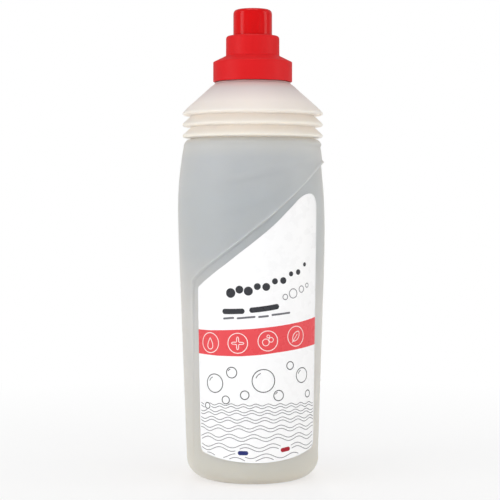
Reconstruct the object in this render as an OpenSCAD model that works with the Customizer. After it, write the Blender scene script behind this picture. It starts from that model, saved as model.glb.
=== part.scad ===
// Toilet cleaner bottle: a one-litre blown bottle with a ribbed shoulder, a spout closure
// and a glossy overcap. Millimetres, +Z up, origin in the middle of the base, front at -Y.
// The bottle is its own mirror image front to back, so both halves of its mould are alike.

/* [Body] */
// Widest diameter of the body, at its belly
belly_d = 86.4; // [85:0.2:92]
// Distance of the belly below the top of the smooth body
belly_drop = 40.2; // [35:0.1:50]
// Diameter just above the rounded heel
heel_d = 76.6; // [74:0.2:80]
// Radius of the rounded heel
heel_round = 11.5; // [6:0.5:14]
// Radius of the bowed flank above the belly
flank_up_r = 191; // [180:1:240]
// Radius of the bowed flank below the belly
flank_low_r = 500; // [400:10:700]
// Height of the smooth body, up to the lowest rib
body_h = 195.7; // [190:0.1:200]
// Radius where the body turns in under the lowest rib
body_round = 5; // [1.5:0.1:6]
// Wall thickness
wall = 0.9; // [0.7:0.1:1.4]

/* [Base] */
// Inner diameter of the ring that the bottle stands on
stand_ring_d = 50; // [44:1:51]
// Height of the hollow under the base
push_up = 3.8; // [2:0.2:6]

/* [Label panel] */
// Depth of the sunk label panel under the belly, where both are widest
panel_depth = 1.5; // [1.3:0.1:2.5]
// Distance of the panel's widest place below the belly
panel_drop = 13; // [5:0.5:25]
// Depth of the panel at its lower edge, under the foot of the flank
panel_foot_depth = 0.4; // [0.3:0.1:1.2]
// Radius of the bowed panel above its widest place
panel_up_r = 330; // [280:10:400]
// Radius of the bowed panel below its widest place
panel_low_r = 700; // [500:50:900]
// Height of the lower edge of the panel
panel_low_z = 11; // [9:0.5:14]
// Distance of the panel's upright edge from the middle plane
panel_left = 34; // [32.5:0.5:36]
// Height of the slanted ridge in the middle of the front
ridge_mid_z = 143.2; // [141:0.1:146]

/* [Ribs and shoulder] */
// Number of ribs
rib_count = 3; // [2:1:4]
// Distance from rib to rib
rib_pitch = 6.45; // [5.5:0.05:7]
// Distance of the ribs' tips inside the belly
rib_step = 2.7; // [2:0.1:4]
// Depth of the groove between two ribs
rib_depth = 4.8; // [2:0.1:5.5]
// Height from a groove to the tip above it
rib_undercut = 1.5; // [1.2:0.1:2.5]
// Radius of a rib's rounded tip
rib_tip = 1.05; // [0.5:0.05:1.4]
// Height of the shoulder cone
shoulder_h = 16.8; // [14:0.1:22]
// Diameter of the shoulder where it ends under the closure
shoulder_top_d = 43.6; // [42.6:0.2:46]
// Height of the upright band under the closure
band_h = 1.1; // [0.5:0.1:1.5]

/* [Neck] */
// Outer diameter of the neck, without its thread
neck_d = 38.8; // [38:0.2:39.6]
// Bore of the neck
neck_bore_d = 34.8; // [33:0.2:36]
// Height of the neck above the band
neck_h = 9.6; // [9:0.1:12]
// Bevel at the neck's rim
neck_bevel = 0.6; // [0.3:0.1:0.8]

/* [Thread] */
// Rise of the thread in one turn
thread_pitch = 4.2; // [3.6:0.1:4.6]
// Turns of the thread on the neck
neck_thread_turns = 1.5; // [1:0.25:1.75]
// Turns of the thread in the closure
skirt_thread_turns = 1.5; // [1:0.25:1.5]
// Width of the thread at its root
thread_root_w = 1.7; // [1.2:0.1:1.8]
// Width of the thread at its crest
thread_crest_w = 0.8; // [0.5:0.1:1]
// Radial room between each crest and the wall that it faces
thread_room = 0.4; // [0.3:0.05:0.5]
// Play between the flanks of the two threads when the closure is screwed down
thread_play = 0.4; // [0.3:0.05:0.5]
// Distance of the neck's thread from the rim
thread_lead_in = 1.6; // [1.4:0.1:2]

/* [Gasket] */
// Thickness of the sealing ring
gasket_t = 1.2; // [0.8:0.1:1.6]
// Hole in the sealing ring
gasket_hole_d = 33; // [31:0.5:34]
// Radial room between the sealing ring and the skirt
gasket_clearance = 0.3; // [0.2:0.1:0.5]

/* [Closure] */
// Outer diameter of the skirt
skirt_d = 45.6; // [45:0.2:48]
// Height of the skirt
skirt_h = 11.3; // [11:0.1:14]
// Wall of the skirt
skirt_wall = 1.7; // [1.5:0.1:2.2]
// Height of the cone above the skirt
cone_h = 3.6; // [2.6:0.1:5]
// Diameter of the turret
turret_d = 30.8; // [30:0.1:34]
// Height of the turret
turret_h = 11.4; // [10:0.1:14]
// Wall of the turret and the plate on top of it
turret_wall = 1.6; // [1.2:0.1:1.8]
// Radius of the turret's rounded upper edge
turret_round = 1.9; // [1:0.1:2.2]
// Height of the spigot that holds the overcap
spigot_h = 2.4; // [2:0.1:3]
// Gap between the skirt and the band of the bottle
skirt_gap = 0.4; // [0.3:0.1:1]

/* [Nozzle] */
// Diameter of the nozzle at its root
nozzle_root_d = 14.4; // [12:0.2:16]
// Diameter of the nozzle at its tip
nozzle_tip_d = 8; // [7:0.2:10]
// Height of the nozzle above the turret
nozzle_h = 11.9; // [9:0.1:12.5]
// Diameter of the outlet
outlet_d = 4; // [3:0.1:5]
// Length of the outlet's straight bore
outlet_l = 3; // [2:0.1:4]
// Wall of the nozzle's root
nozzle_wall = 1.5; // [1.2:0.1:2]

/* [Overcap] */
// Outer diameter of the overcap
cap_d = 22.4; // [21.8:0.1:25]
// Height of the overcap
cap_h = 15.3; // [15.2:0.1:18]
// Wall of the overcap
cap_wall = 1.4; // [1:0.1:1.8]
// Radius of the overcap's rounded upper edge
cap_round = 3; // [1:0.1:4]
// Radial room between the overcap and the spigot
cap_clearance = 0.3; // [0.2:0.05:0.5]
// Radial room of the sealing pin in the outlet
pin_clearance = 0.08; // [0.05:0.01:0.1]
// Length of the sealing pin inside the outlet
pin_reach = 2; // [1:0.1:2]

/* [Labels] */
// Thickness of the label film
film_t = 0.15; // [0.1:0.01:0.2]
// Room for the adhesive under the label
glue_t = 0.05; // [0.03:0.01:0.1]
// Width of the label's foot left of the middle, measured along the bottle
label_left = 33; // [30:0.5:34]
// Width of the label's foot right of the middle, measured along the bottle
label_right = 41.5; // [38:0.5:44]
// Growth of either width per unit of height
label_lean = 0.024; // [0:0.002:0.03]
// Height of the label's lower edge in its middle
label_low_z = 13.8; // [13:0.1:18]
// Radius of the label's curved lower edge
label_low_r = 125; // [110:5:200]
// Distance of the label's slanted edge below the ridge, in the middle of the front
label_margin = 6.3; // [5:0.1:9]
// Height of the label's top
label_top_z = 164.1; // [160:0.1:165]
// Radius of the label's upper right corner
label_top_r = 7.5; // [5:0.5:8]
// Radius between the label's top and its slanted edge
label_crown_r = 16; // [12:0.5:18]
// Radius of the label's other corners
label_corner_r = 4; // [2:0.5:6]

/* [Contents] */
// Height of the cleaning gel in the bottle
fill_h = 190; // [150:0.5:191]
// Gap between the gel and the wall
gel_gap = 0.05; // [0.03:0.01:0.1]

/* [Hidden] */
$fn = 96;
bow_steps = 10;
round_steps = 6;
groove_steps = 3;
// Half of a box wider than any part of the bottle, for cuts
reach = 70;
// Directions in which the slope of a rib and the undercut below its tip face
rib_over_a = 45;
rib_under_a = -82;
// Least radius inside a rib's tip
rib_tip_min = 0.2;
// Directions between which the body turns in under the lowest rib
body_turn = [15, 60];
// Direction in which the heel meets the flank
heel_end_a = -5;
// Height of the rounded edge of the hollow under the base, as a share of the hollow's height
push_up_edge = 0.8;
natural = [0.90, 0.88, 0.84];
cap_red = [0.82, 0.13, 0.15];
gloss_red = [0.80, 0.06, 0.08];

// The slanted ridge as [distance from the middle plane, height over its middle], from the side inwards
ridge = [[41, 38.3], [29, 25.2], [11, 8.8], [0, 0], [-29, -22.5]];
// Fall of the ridge from its middle to the panel's upright edge
ridge_drop = 28.7;
// Both parts of a step of one across the ridge
ridge_lean = 0.7;
// The label's slanted edge as [distance along the bottle, height over its middle], from its top down
label_slant = [[18.8, 16.2], [12.8, 10.5], [4.3, 3.4], [0, 0], [-15.5, -12]];
// Fall of the label's slanted edge from its middle to its left end
label_drop = 25.3;
// Direction in which the label's slanted edge faces
label_slant_a = 130;
// Place of the lowest point of the label's edge, measured along the bottle
label_low_s = 2;
// Angle between the label's lower edge and its level at either end
label_low_a = 12;
// Height of the space in front of the panel above the middle of the ridge
panel_head = 53;

belly_z = body_h - belly_drop;
panel_z = belly_z - panel_drop;
panel_foot_z = panel_low_z - 2 * wall;
panel_top_z = ridge_mid_z + panel_head;
panel_d = belly_d - 2 * panel_depth;
panel_foot_d = heel_d - 2 * panel_foot_depth;
label_mid_z = ridge_mid_z - label_margin;
top_rib_z = body_h + rib_undercut + (rib_count - 1) * rib_pitch;
shoulder_z = top_rib_z + shoulder_h;
ledge_z = shoulder_z + band_h;
rim_z = ledge_z + neck_h;
roof_z = rim_z + gasket_t;
skirt_z = ledge_z + skirt_gap;
cone_z = skirt_z + skirt_h;
turret_z = cone_z + cone_h;
deck_z = turret_z + turret_h;
rib_r = belly_d / 2 - rib_step;
groove_r = rib_r - rib_depth;
skirt_bore_r = skirt_d / 2 - skirt_wall;
cap_bore_r = cap_d / 2 - cap_wall;
spigot_r = cap_bore_r - cap_clearance;
nozzle_z = deck_z + nozzle_h;
// Height of the middle of each thread where it starts
neck_thread_z = rim_z - thread_lead_in - neck_thread_turns * thread_pitch;
skirt_thread_turn = 0.5;
skirt_thread_z = neck_thread_z - (thread_root_w + thread_crest_w) / 2 - thread_play
    + skirt_thread_turn * thread_pitch;
// Depth to which a thread's foot reaches into its wall
thread_foot = 0.5;
thread_steps = 36;
// Rings over which a thread runs out at either end
thread_runout = 3;
// Radius at which the flat label is taken to lie when its outline is wrapped round the bottle
wrap_r = (panel_d + panel_foot_d) / 4;

// Points on an arc about [x, y]
function arc(x, y, r, from, to, steps) =
    [for (i = [0 : steps]) let (a = from + (to - from) * i / steps) [x + r * cos(a), y + r * sin(a)]];

// Angle at which a straight flank through foot touches the bow of radius r about [cx, cz]
function touch_a(cx, cz, r, foot) =
    let (dx = foot[0] - cx, dz = cz - foot[1])
    atan2(dz, dx) - acos(r / norm([dx, dz]));

// Outline of a flank from its foot to its top: straight, then bowed through its widest place
function flank(wide_r, wide_z, low_r, up_r, foot, top_z) =
    let (low = touch_a(wide_r - low_r, wide_z, low_r, foot), high = asin((top_z - wide_z) / up_r))
    concat([foot],
        arc(wide_r - low_r, wide_z, low_r, -low, 0, round_steps),
        [for (i = [1 : bow_steps]) let (a = high * i / bow_steps)
            [wide_r - up_r + up_r * cos(a), wide_z + up_r * sin(a)]]);

// Outline of the sunk panel at a given depth under its surface
function panel_side(inset) =
    flank(panel_d / 2 - inset, panel_z, panel_low_r, panel_up_r,
        [panel_foot_d / 2 - inset, panel_foot_z], panel_top_z);

// Outline of the underside, from the axis to the foot of the flank
function base_line(inset) = concat(
    [[0, push_up + inset], [stand_ring_d / 2 - push_up, push_up * push_up_edge + inset],
     [stand_ring_d / 2, inset]],
    arc(heel_d / 2 - heel_round, heel_round, heel_round - inset, -90, heel_end_a, round_steps));

// Outline of one rib, from the groove under it to the start of the slope above it
function rib(i, inset, below_a, over_a) =
    let (z = body_h + rib_undercut + i * rib_pitch)
    concat(inset == 0
            ? [[groove_r, z - rib_undercut]]
            : arc(groove_r, z - rib_undercut, inset, 180 + below_a, 180 + rib_under_a, groove_steps),
        arc(rib_r - rib_tip, z, max(rib_tip_min, rib_tip - inset), rib_under_a, over_a,
            round_steps));

// Outline of the body with its ribs and shoulder, at a given depth under the outer surface
function body_line(inset) =
    let (top = body_h - body_round,
         side = flank(belly_d / 2 - inset, belly_z, flank_low_r, flank_up_r,
            [heel_d / 2 - inset, heel_round], top),
         last = side[len(side) - 1],
         shoulder_a = atan2(rib_r - shoulder_top_d / 2, shoulder_h))
    concat(base_line(inset), side,
        arc(last[0] - body_round + inset, top, body_round - inset, body_turn[0], body_turn[1],
            round_steps),
        [for (i = [0 : rib_count - 1])
            each rib(i, inset, i == 0 ? body_turn[1] : rib_over_a,
                i == rib_count - 1 ? shoulder_a : rib_over_a)]);

// Walls round the sunk panel, seen from the front; grow moves them outwards
function panel_line(grow) =
    concat([[-panel_left - grow, panel_low_z - grow], [reach, panel_low_z - grow],
        [reach, panel_top_z + grow]],
        [for (p = ridge) [p[0] - grow * ridge_lean, ridge_mid_z + p[1] + grow * ridge_lean]],
        [[-panel_left - grow, ridge_mid_z - ridge_drop + grow * ridge_lean]]);

// Space in front of the sunk panel, from its surface outwards
module panel_space(inset) {
    side = panel_side(inset);
    intersection() {
        rotate_extrude() polygon(concat(side, [[reach, panel_top_z], [reach, panel_foot_z]]));
        rotate([90, 0, 0]) linear_extrude(2 * reach, center = true) polygon(panel_line(inset));
    }
}

// Solid of the blown body up to the shoulder; inset gives its inner faces
module body_form(inset) {
    cone_top = inset == 0
        ? [[shoulder_top_d / 2, shoulder_z], [shoulder_top_d / 2, ledge_z], [0, ledge_z]]
        : [[shoulder_top_d / 2 - wall, shoulder_z - wall], [neck_bore_d / 2, ledge_z - wall],
           [0, ledge_z - wall]];
    difference() {
        rotate_extrude() polygon(concat(body_line(inset), cone_top));
        panel_space(inset);
    }
}

module neck() {
    rotate_extrude() polygon([[0, ledge_z - wall], [neck_d / 2, ledge_z - wall],
        [neck_d / 2, rim_z - neck_bevel], [neck_d / 2 - neck_bevel, rim_z], [0, rim_z]]);
}

// Thread from z upwards, from turn times 360 degrees on; its crest may lie outside or inside its root
module thread(root_r, crest_r, z, turn, turns) {
    outwards = sign(crest_r - root_r);
    last = round(turns * thread_steps);
    foot_r = root_r - outwards * thread_foot;
    sunk_r = root_r - outwards * thread_foot / 2;
    rings = [for (k = [0 : last])
        let (a = (turn + k / thread_steps) * 360, rise = k / thread_steps * thread_pitch,
             crest = sunk_r + (crest_r - sunk_r) * min(1, k / thread_runout, (last - k) / thread_runout))
        for (p = [[foot_r, -thread_root_w / 2], [crest, -thread_crest_w / 2],
                  [crest, thread_crest_w / 2], [foot_r, thread_root_w / 2]])
            [p[0] * cos(a), p[0] * sin(a), z + rise + p[1]]];
    sides = [for (k = [0 : last - 1], i = [0 : 3])
        let (a = 4 * k + i, b = 4 * k + (i + 1) % 4)
        each [[a, b, b + 4], [a, b + 4, a + 4]]];
    ends = [[3, 2, 1], [3, 1, 0], [4 * last, 4 * last + 1, 4 * last + 2],
        [4 * last, 4 * last + 2, 4 * last + 3]];
    polyhedron(rings, [for (f = concat(sides, ends)) outwards > 0 ? f : [f[2], f[1], f[0]]]);
}

module bottle() {
    color(natural) difference() {
        union() {
            body_form(0);
            neck();
            thread(neck_d / 2, skirt_bore_r - thread_room, neck_thread_z, 0, neck_thread_turns);
        }
        body_form(wall);
        translate([0, 0, ledge_z - 2 * wall]) cylinder(d = neck_bore_d, h = neck_h + 3 * wall);
    }
}

module gasket() {
    color("white") translate([0, 0, rim_z]) difference() {
        cylinder(r = skirt_bore_r - gasket_clearance, h = gasket_t);
        translate([0, 0, -gasket_t]) cylinder(d = gasket_hole_d, h = 3 * gasket_t);
    }
}

module spout_closure() {
    turret_bore_r = turret_d / 2 - turret_wall;
    plate_z = deck_z - turret_wall;
    outlet_z = nozzle_z - outlet_l;
    color(cap_red) union() {
        rotate_extrude() polygon(concat(
            [[skirt_bore_r, skirt_z], [skirt_d / 2, skirt_z], [skirt_d / 2, cone_z],
             [turret_d / 2, turret_z]],
            arc(turret_d / 2 - turret_round, deck_z - turret_round, turret_round, 0, 90, round_steps),
            [[spigot_r, deck_z], [spigot_r, deck_z + spigot_h], [nozzle_root_d / 2, deck_z + spigot_h],
             [nozzle_tip_d / 2, nozzle_z], [outlet_d / 2, nozzle_z], [outlet_d / 2, outlet_z],
             [nozzle_root_d / 2 - nozzle_wall, plate_z], [turret_bore_r, plate_z],
             [turret_bore_r, roof_z], [skirt_bore_r, roof_z]]));
        thread(skirt_bore_r, neck_d / 2 + thread_room, skirt_thread_z, skirt_thread_turn,
            skirt_thread_turns);
    }
}

module overcap() {
    top_z = deck_z + cap_h;
    ceiling_z = top_z - cap_wall;
    pin_r = outlet_d / 2 - pin_clearance;
    color(gloss_red) rotate_extrude() polygon(concat(
        [[0, nozzle_z - pin_reach], [pin_r, nozzle_z - pin_reach], [pin_r, ceiling_z],
         [cap_bore_r, ceiling_z], [cap_bore_r, deck_z], [cap_d / 2, deck_z]],
        arc(cap_d / 2 - cap_round, top_z - cap_round, cap_round, 0, 90, round_steps),
        [[0, top_z]]));
}

// Distance from the middle plane of a point s along the wrapped label
function wrapped(s) = wrap_r * sin(s / wrap_r * 180 / PI);

// Lower edge of the flat label at s along it
function label_low(s) =
    label_low_z + label_low_r - sqrt(pow(label_low_r, 2) - pow(s - label_low_s, 2));

// Outline of the flat label, as [distance along the bottle, height]
function label_line() =
    let (c = label_corner_r, t = label_top_r, edge_l = c - label_left, edge_r = label_right - c,
         left_end_z = label_mid_z - label_drop - c / 3, crown_z = label_top_z - t,
         left = -label_left - label_lean * (left_end_z - label_low_z),
         right = label_right + label_lean * (crown_z - label_low_z))
    concat(
        arc(edge_l, label_low(edge_l) + c, c, 180, 270 - label_low_a, round_steps),
        [for (i = [1 : bow_steps - 1]) let (s = edge_l + i * (edge_r - edge_l) / bow_steps)
            [s, label_low(s)]],
        arc(edge_r, label_low(edge_r) + c, c, label_low_a - 90, 0, round_steps),
        arc(right - t, crown_z, t, 0, 90, round_steps),
        arc(right - t, label_top_z - label_crown_r, label_crown_r, 90, label_slant_a, round_steps),
        [for (p = label_slant) [p[0], label_mid_z + p[1]]],
        arc(left + c / 2, left_end_z, c / 2, label_slant_a, 180, round_steps));

// Film on the front panel
module label_film() {
    inner = panel_side(-glue_t);
    outer = [for (i = [len(inner) - 1 : -1 : 0]) inner[i] + [film_t, 0]];
    intersection() {
        rotate_extrude() polygon(concat(inner, outer));
        rotate([90, 0, 0]) linear_extrude(reach)
            polygon([for (p = label_line()) [wrapped(p[0]), p[1]]]);
    }
}

module front_label() {
    color("white") label_film();
}

module back_label() {
    color("white") mirror([0, 1, 0]) label_film();
}

module cleaning_gel() {
    color([0.70, 0.74, 0.76]) intersection() {
        body_form(wall + gel_gap);
        cylinder(r = reach, h = fill_h);
    }
}

bottle();
gasket();
spout_closure();
overcap();
front_label();
back_label();
cleaning_gel();
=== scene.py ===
"""Looks of the toilet cleaner bottle: shell, gel, closure, overcap, labels, light and camera.

Lengths of the part are millimetres, and MM turns them into metres. The studio's lengths are metres.
"""
import math

import bpy
import numpy as np
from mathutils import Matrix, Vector


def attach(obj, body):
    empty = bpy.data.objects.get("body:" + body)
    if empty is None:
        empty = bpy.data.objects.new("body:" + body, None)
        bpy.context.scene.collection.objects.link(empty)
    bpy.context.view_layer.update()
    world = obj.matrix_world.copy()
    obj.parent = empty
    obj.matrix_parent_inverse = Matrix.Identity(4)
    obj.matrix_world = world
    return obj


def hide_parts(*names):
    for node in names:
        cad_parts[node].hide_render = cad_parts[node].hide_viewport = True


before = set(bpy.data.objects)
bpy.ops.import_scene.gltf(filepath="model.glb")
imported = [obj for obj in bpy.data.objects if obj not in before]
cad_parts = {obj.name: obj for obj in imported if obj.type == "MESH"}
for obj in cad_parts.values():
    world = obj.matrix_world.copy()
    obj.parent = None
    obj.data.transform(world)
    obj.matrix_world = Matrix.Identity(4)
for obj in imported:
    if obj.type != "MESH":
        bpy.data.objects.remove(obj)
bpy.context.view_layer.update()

MM = 0.001
TAU = 2 * math.pi

# Sizes of the CAD model: body with its belly, heel, the bows of its flank, top, wall and push-up
BELLY_R, BELLY_Z = 43.2, 155.5
HEEL_R, HEEL_ROUND = 38.3, 11.5
FLANK_UP, FLANK_LOW = 191.0, 500.0
BODY_H, BODY_ROUND = 195.7, 5.0
WALL, PUSH_UP = 0.9, 3.8

# Sunk panel: widest place, foot, bows of its flank, upright edge, lower end, ridge as (x, height)
PANEL_R, PANEL_Z = 41.7, 142.5
PANEL_FOOT_R, PANEL_FOOT_Z = 37.9, 9.2
PANEL_UP, PANEL_LOW = 330.0, 700.0
PANEL_LEFT, PANEL_LOW_Z = 34.0, 11.0
RIDGE_Z = 143.2
RIDGE = [(-34.0, -28.7), (-29.0, -22.5), (0.0, 0.0), (11.0, 8.8), (29.0, 25.2), (41.0, 38.3),
         (70.0, 53.0)]
RIDGE_EASE = 2.5

# Ribs, shoulder, ledge under the closure, and neck
RIBS = 3
RIB_PITCH, RIB_R, RIB_DEPTH, RIB_UNDER, RIB_TIP = 6.45, 40.5, 4.8, 1.5, 1.05
RIB_UNDER_A = -82
TOP_RIB_Z = BODY_H + RIB_UNDER + (RIBS - 1) * RIB_PITCH
SHOULDER_Z, SHOULDER_R = TOP_RIB_Z + 16.8, 21.8
LEDGE_Z = SHOULDER_Z + 1.1
RIM_Z = LEDGE_Z + 9.6
NECK_R, BORE_R = 19.4, 17.4

# Threads: turns, pitch, crests, play in height, and the half widths of their section
THREAD_TURNS, THREAD_PITCH = 1.5, 4.2
THREAD_Z = RIM_Z - 1.6 - THREAD_TURNS * THREAD_PITCH
NECK_CREST, CLOSURE_CREST = 20.7, 19.8
THREAD_PLAY = 1.65
THREAD_FOOT, THREAD_SHOULDER, THREAD_TOP, THREAD_SUNK = 0.85, 0.5, 0.3, 0.4
THREAD_STEPS, THREAD_RUNOUT, THREAD_END = 72, 6, 0.3

# Gel: its line at the wall, its surface inside the low meniscus, and its gap to the wall
FILL_Z = 190.0
GEL_TOP_Z, GEL_GAP = FILL_Z - 0.9, 0.05

# Closure from its skirt over cone and turret to spigot and nozzle, and the overcap
SKIRT_R, SKIRT_BORE, SKIRT_Z = 22.8, 21.1, LEDGE_Z + 0.4
CONE_Z = SKIRT_Z + 11.3
TURRET_Z, TURRET_R, TURRET_ROUND = CONE_Z + 3.6, 15.4, 1.9
DECK_Z, ROOF_Z, MOULD_WALL = TURRET_Z + 11.4, RIM_Z + 1.2, 1.6
SPIGOT_R, SPIGOT_H, NOZZLE_Z = 9.5, 2.4, DECK_Z + 11.9
NOZZLE_FOOT_R, NOZZLE_TIP_R, NOZZLE_HOLE_R, NOZZLE_BORE_R = 7.2, 4.0, 2.0, 5.7
CAP_R, CAP_BORE, CAP_H, CAP_ROUND = 11.2, 9.8, 15.3, 3.0
CAP_ROOF, CAP_GAP, PIN_R, PIN_LONG = 1.4, 0.02, 1.92, 2.0

# Flat label: sides and their lean, bowed foot, round top, corner, and its slant as (s, height)
LABEL_LEFT, LABEL_RIGHT, LABEL_LEAN = 33.0, 41.5, 0.024
LABEL_LOW_Z, LABEL_LOW_R, LABEL_LOW_S = 13.8, 125.0, 2.0
LABEL_MID_Z = RIDGE_Z - 6.3
LABEL_TOP_Z, LABEL_TOP_R, LABEL_CROWN_R, LABEL_CORNER = 164.1, 7.5, 16.0, 4.0
SLANT = [(18.8, 16.2), (12.8, 10.5), (4.3, 3.4), (0.0, 0.0), (-15.5, -12.0)]
LABEL_DROP = 25.3
FILM, GLUE = 0.15, 0.05
WRAP_R = (2 * PANEL_R + 2 * PANEL_FOOT_R) / 4

# Finish of the blown wall, in this scene alone: step into the panel and the bead along its ridge
RIDGE_SLOPE, STEP_WIDE, STEP_CORNER = 0.78, 1.5, 3.0
BEAD_TALL, BEAD_AT, BEAD_WIDE, BEAD_LOW_Z, BEAD_FADE = 0.30, 0.45, 0.42, 60.0, 60.0

# Flat run-in of the flank over the ridge: depth, then (start, fade) across, upwards and to the top
FLAT_DEEP = 0.9
FLAT_ACROSS, FLAT_UP, FLAT_TOP = (22.0, 18.0), (160.0, 14.0), (BODY_H + 4, 8.0)

# Soft creases, as (x, z) seen from the front, with height, width and reach, and how their ends fade
CREASES = [
    ([(-30, 169.5), (-22, 171), (-7, 172.5), (6, 176), (22, 179.5), (34, 183), (41, 184.5)],
     0.42, 2.0, 8.0),
    ([(-24, 148.5), (-15, 153.5), (-3, 156.5), (10, 162), (19, 168), (30, 175)], 0.34, 2.0, 7.0),
]
CREASE_LEFT_FADE, CREASE_RIGHT_FADE, CREASE_PAST = 16.0, 12.0, 4.0

# Softened edges of the neck and of the grooves between the ribs, and where a groove opens outwards
EDGE_EASE, SHOULDER_EASE, RIM_EASE = 0.4, 0.5, 0.6
GROOVE_EASE, GROOVE_OPENS = 0.35, (2.4, 2.7)

# Columns of the shell in degrees: evenly spaced, but close together at the panel's upright edge
EDGE_A, EDGE_BAND, COLUMN_STEP, EDGE_STEP, SHIFT_FROM_A = 145.0, 3.0, 1.5, 0.5, 95.0
MID_Z, MID_R = 120.0, 42.5

# Rows of the shell and the gel, as heights over the ridge
OUTER_OFFSETS = [-2.4, -1.7, -1.2, -0.85, -0.55, -0.3, 0, 0.3, 0.55, 0.8, 1.05, 1.35, 1.8, 2.6]
INNER_OFFSETS = [-2.0, -1.0, -0.4, 0.2, 0.8, 1.8]
HEEL_A = 20
INNER_LOW_Z = HEEL_ROUND + 1


# Meshes
def smooth(x):
    x = np.clip(x, 0, 1)
    return x * x * (3 - 2 * x)


def mesh_object(name, verts, faces, materials, face_mats=None, sharp_deg=40):
    """A smooth-shaded mesh from points in millimetres."""
    mesh = bpy.data.meshes.new(name)
    mesh.from_pydata((np.asarray(verts) * MM).tolist(), [], faces)
    for material in materials:
        mesh.materials.append(material)
    if face_mats is not None:
        mesh.polygons.foreach_set("material_index", np.asarray(face_mats, np.int32))
    mesh.validate()
    mesh.shade_smooth()
    if sharp_deg:
        mesh.set_sharp_from_angle(angle=math.radians(sharp_deg))
    mesh.update()
    obj = bpy.data.objects.new(name, mesh)
    bpy.context.scene.collection.objects.link(obj)
    return obj


def ring(r, z, phi):
    """A row of points round the axis; phi runs from the right side over the front."""
    return np.stack([r * np.cos(phi), -r * np.sin(phi), np.broadcast_to(z, phi.shape)], 1)


def turned(profile, phi):
    """Round rows, one for each (r, z) of a profile."""
    return [ring(r, z, phi) for r, z in profile]


def tube(rows, low_z, high_z):
    """A skin over rows of points; the first and the last row close to a point on the axis."""
    n = len(rows[0])
    verts = np.concatenate([*rows, [[0, 0, low_z], [0, 0, high_z]]])
    low_mid, high_mid, last = len(verts) - 2, len(verts) - 1, len(verts) - 2 - n
    faces = []
    for i in range(len(rows) - 1):
        for j in range(n):
            a, b = i * n + j, i * n + (j + 1) % n
            faces.append((a, a + n, b + n, b))
    for j in range(n):
        k = (j + 1) % n
        faces.append((low_mid, j, k))
        faces.append((high_mid, last + k, last + j))
    return verts.tolist(), faces


def lathe(profile, segs):
    """A profile of (r, z) turned round Z; it runs so that outside lies to its right."""
    verts, faces = [], []
    rings = []
    ang = np.arange(segs) / segs * TAU
    for r, z in profile:
        if r < 1e-6:
            rings.append([len(verts)])
            verts.append((0.0, 0.0, z))
        else:
            rings.append(list(range(len(verts), len(verts) + segs)))
            verts.extend(zip(r * np.cos(ang), r * np.sin(ang), np.full(segs, z)))
    for low, high in zip(rings, rings[1:]):
        if len(low) == 1 and len(high) == 1:
            continue
        for j in range(segs):
            k = (j + 1) % segs
            if len(low) == 1:
                faces.append((low[0], high[k], high[j]))
            elif len(high) == 1:
                faces.append((low[j], low[k], high[0]))
            else:
                faces.append((low[j], low[k], high[k], high[j]))
    return verts, faces


def arc(x, y, r, a0, a1, n):
    """Points of an arc from angle a0 to a1 in degrees, in n steps."""
    return [(x + r * math.cos(math.radians(a0 + (a1 - a0) * i / n)),
             y + r * math.sin(math.radians(a0 + (a1 - a0) * i / n))) for i in range(n + 1)]


def fillet(points, segs):
    """Rounds the corners of a profile of (r, z, radius)."""
    out = []
    for i, (r, z, rad) in enumerate(points):
        if rad <= 0 or i in (0, len(points) - 1):
            out.append((r, z))
            continue
        p = Vector((r, z))
        a = Vector(points[i - 1][:2]) - p
        b = Vector(points[i + 1][:2]) - p
        half = a.angle(b) / 2
        cut = min(rad / math.tan(half), a.length * 0.48, b.length * 0.48)
        start, stop = p + a.normalized() * cut, p + b.normalized() * cut
        for s in range(segs + 1):
            t = s / segs
            q = start * (1 - t) ** 2 + p * 2 * t * (1 - t) + stop * t ** 2
            out.append((q.x, q.y))
    return out


def thread(root_r, crest_r, z, turn):
    """A closed thread with a rounded crest, its foot sunk in the wall and its ends running out."""
    out = 1 if crest_r > root_r else -1
    foot_r = root_r - out * THREAD_SUNK
    upper = [(crest_r, THREAD_TOP), (root_r + (crest_r - root_r) * 0.8, THREAD_SHOULDER),
             (foot_r, THREAD_FOOT)]
    section = [(r, -dz) for r, dz in upper[::-1]] + upper
    count = int(THREAD_TURNS * THREAD_STEPS)
    verts, faces = [], []
    for k in range(count + 1):
        a = (turn + k / THREAD_STEPS) * TAU
        grow = max(min(1, k / THREAD_RUNOUT, (count - k) / THREAD_RUNOUT), THREAD_END)
        for r, dz in section:
            rr = foot_r + (r - foot_r) * grow
            verts.append((rr * math.cos(a), rr * math.sin(a), z + k / THREAD_STEPS * THREAD_PITCH + dz))
    n = len(section)
    for k in range(count):
        for i in range(n):
            a, b = k * n + i, k * n + (i + 1) % n
            quad = (a, b, b + n, a + n)
            faces.append(quad if out > 0 else quad[::-1])
    first, last = tuple(range(n))[::-1], tuple(range(count * n, count * n + n))
    faces.extend([first, last] if out > 0 else [first[::-1], last[::-1]])
    return verts, faces


def join(*parts):
    verts, faces = [], []
    for part_verts, part_faces in parts:
        base = len(verts)
        verts.extend(part_verts)
        faces.extend(tuple(base + i for i in face) for face in part_faces)
    return verts, faces


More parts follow.
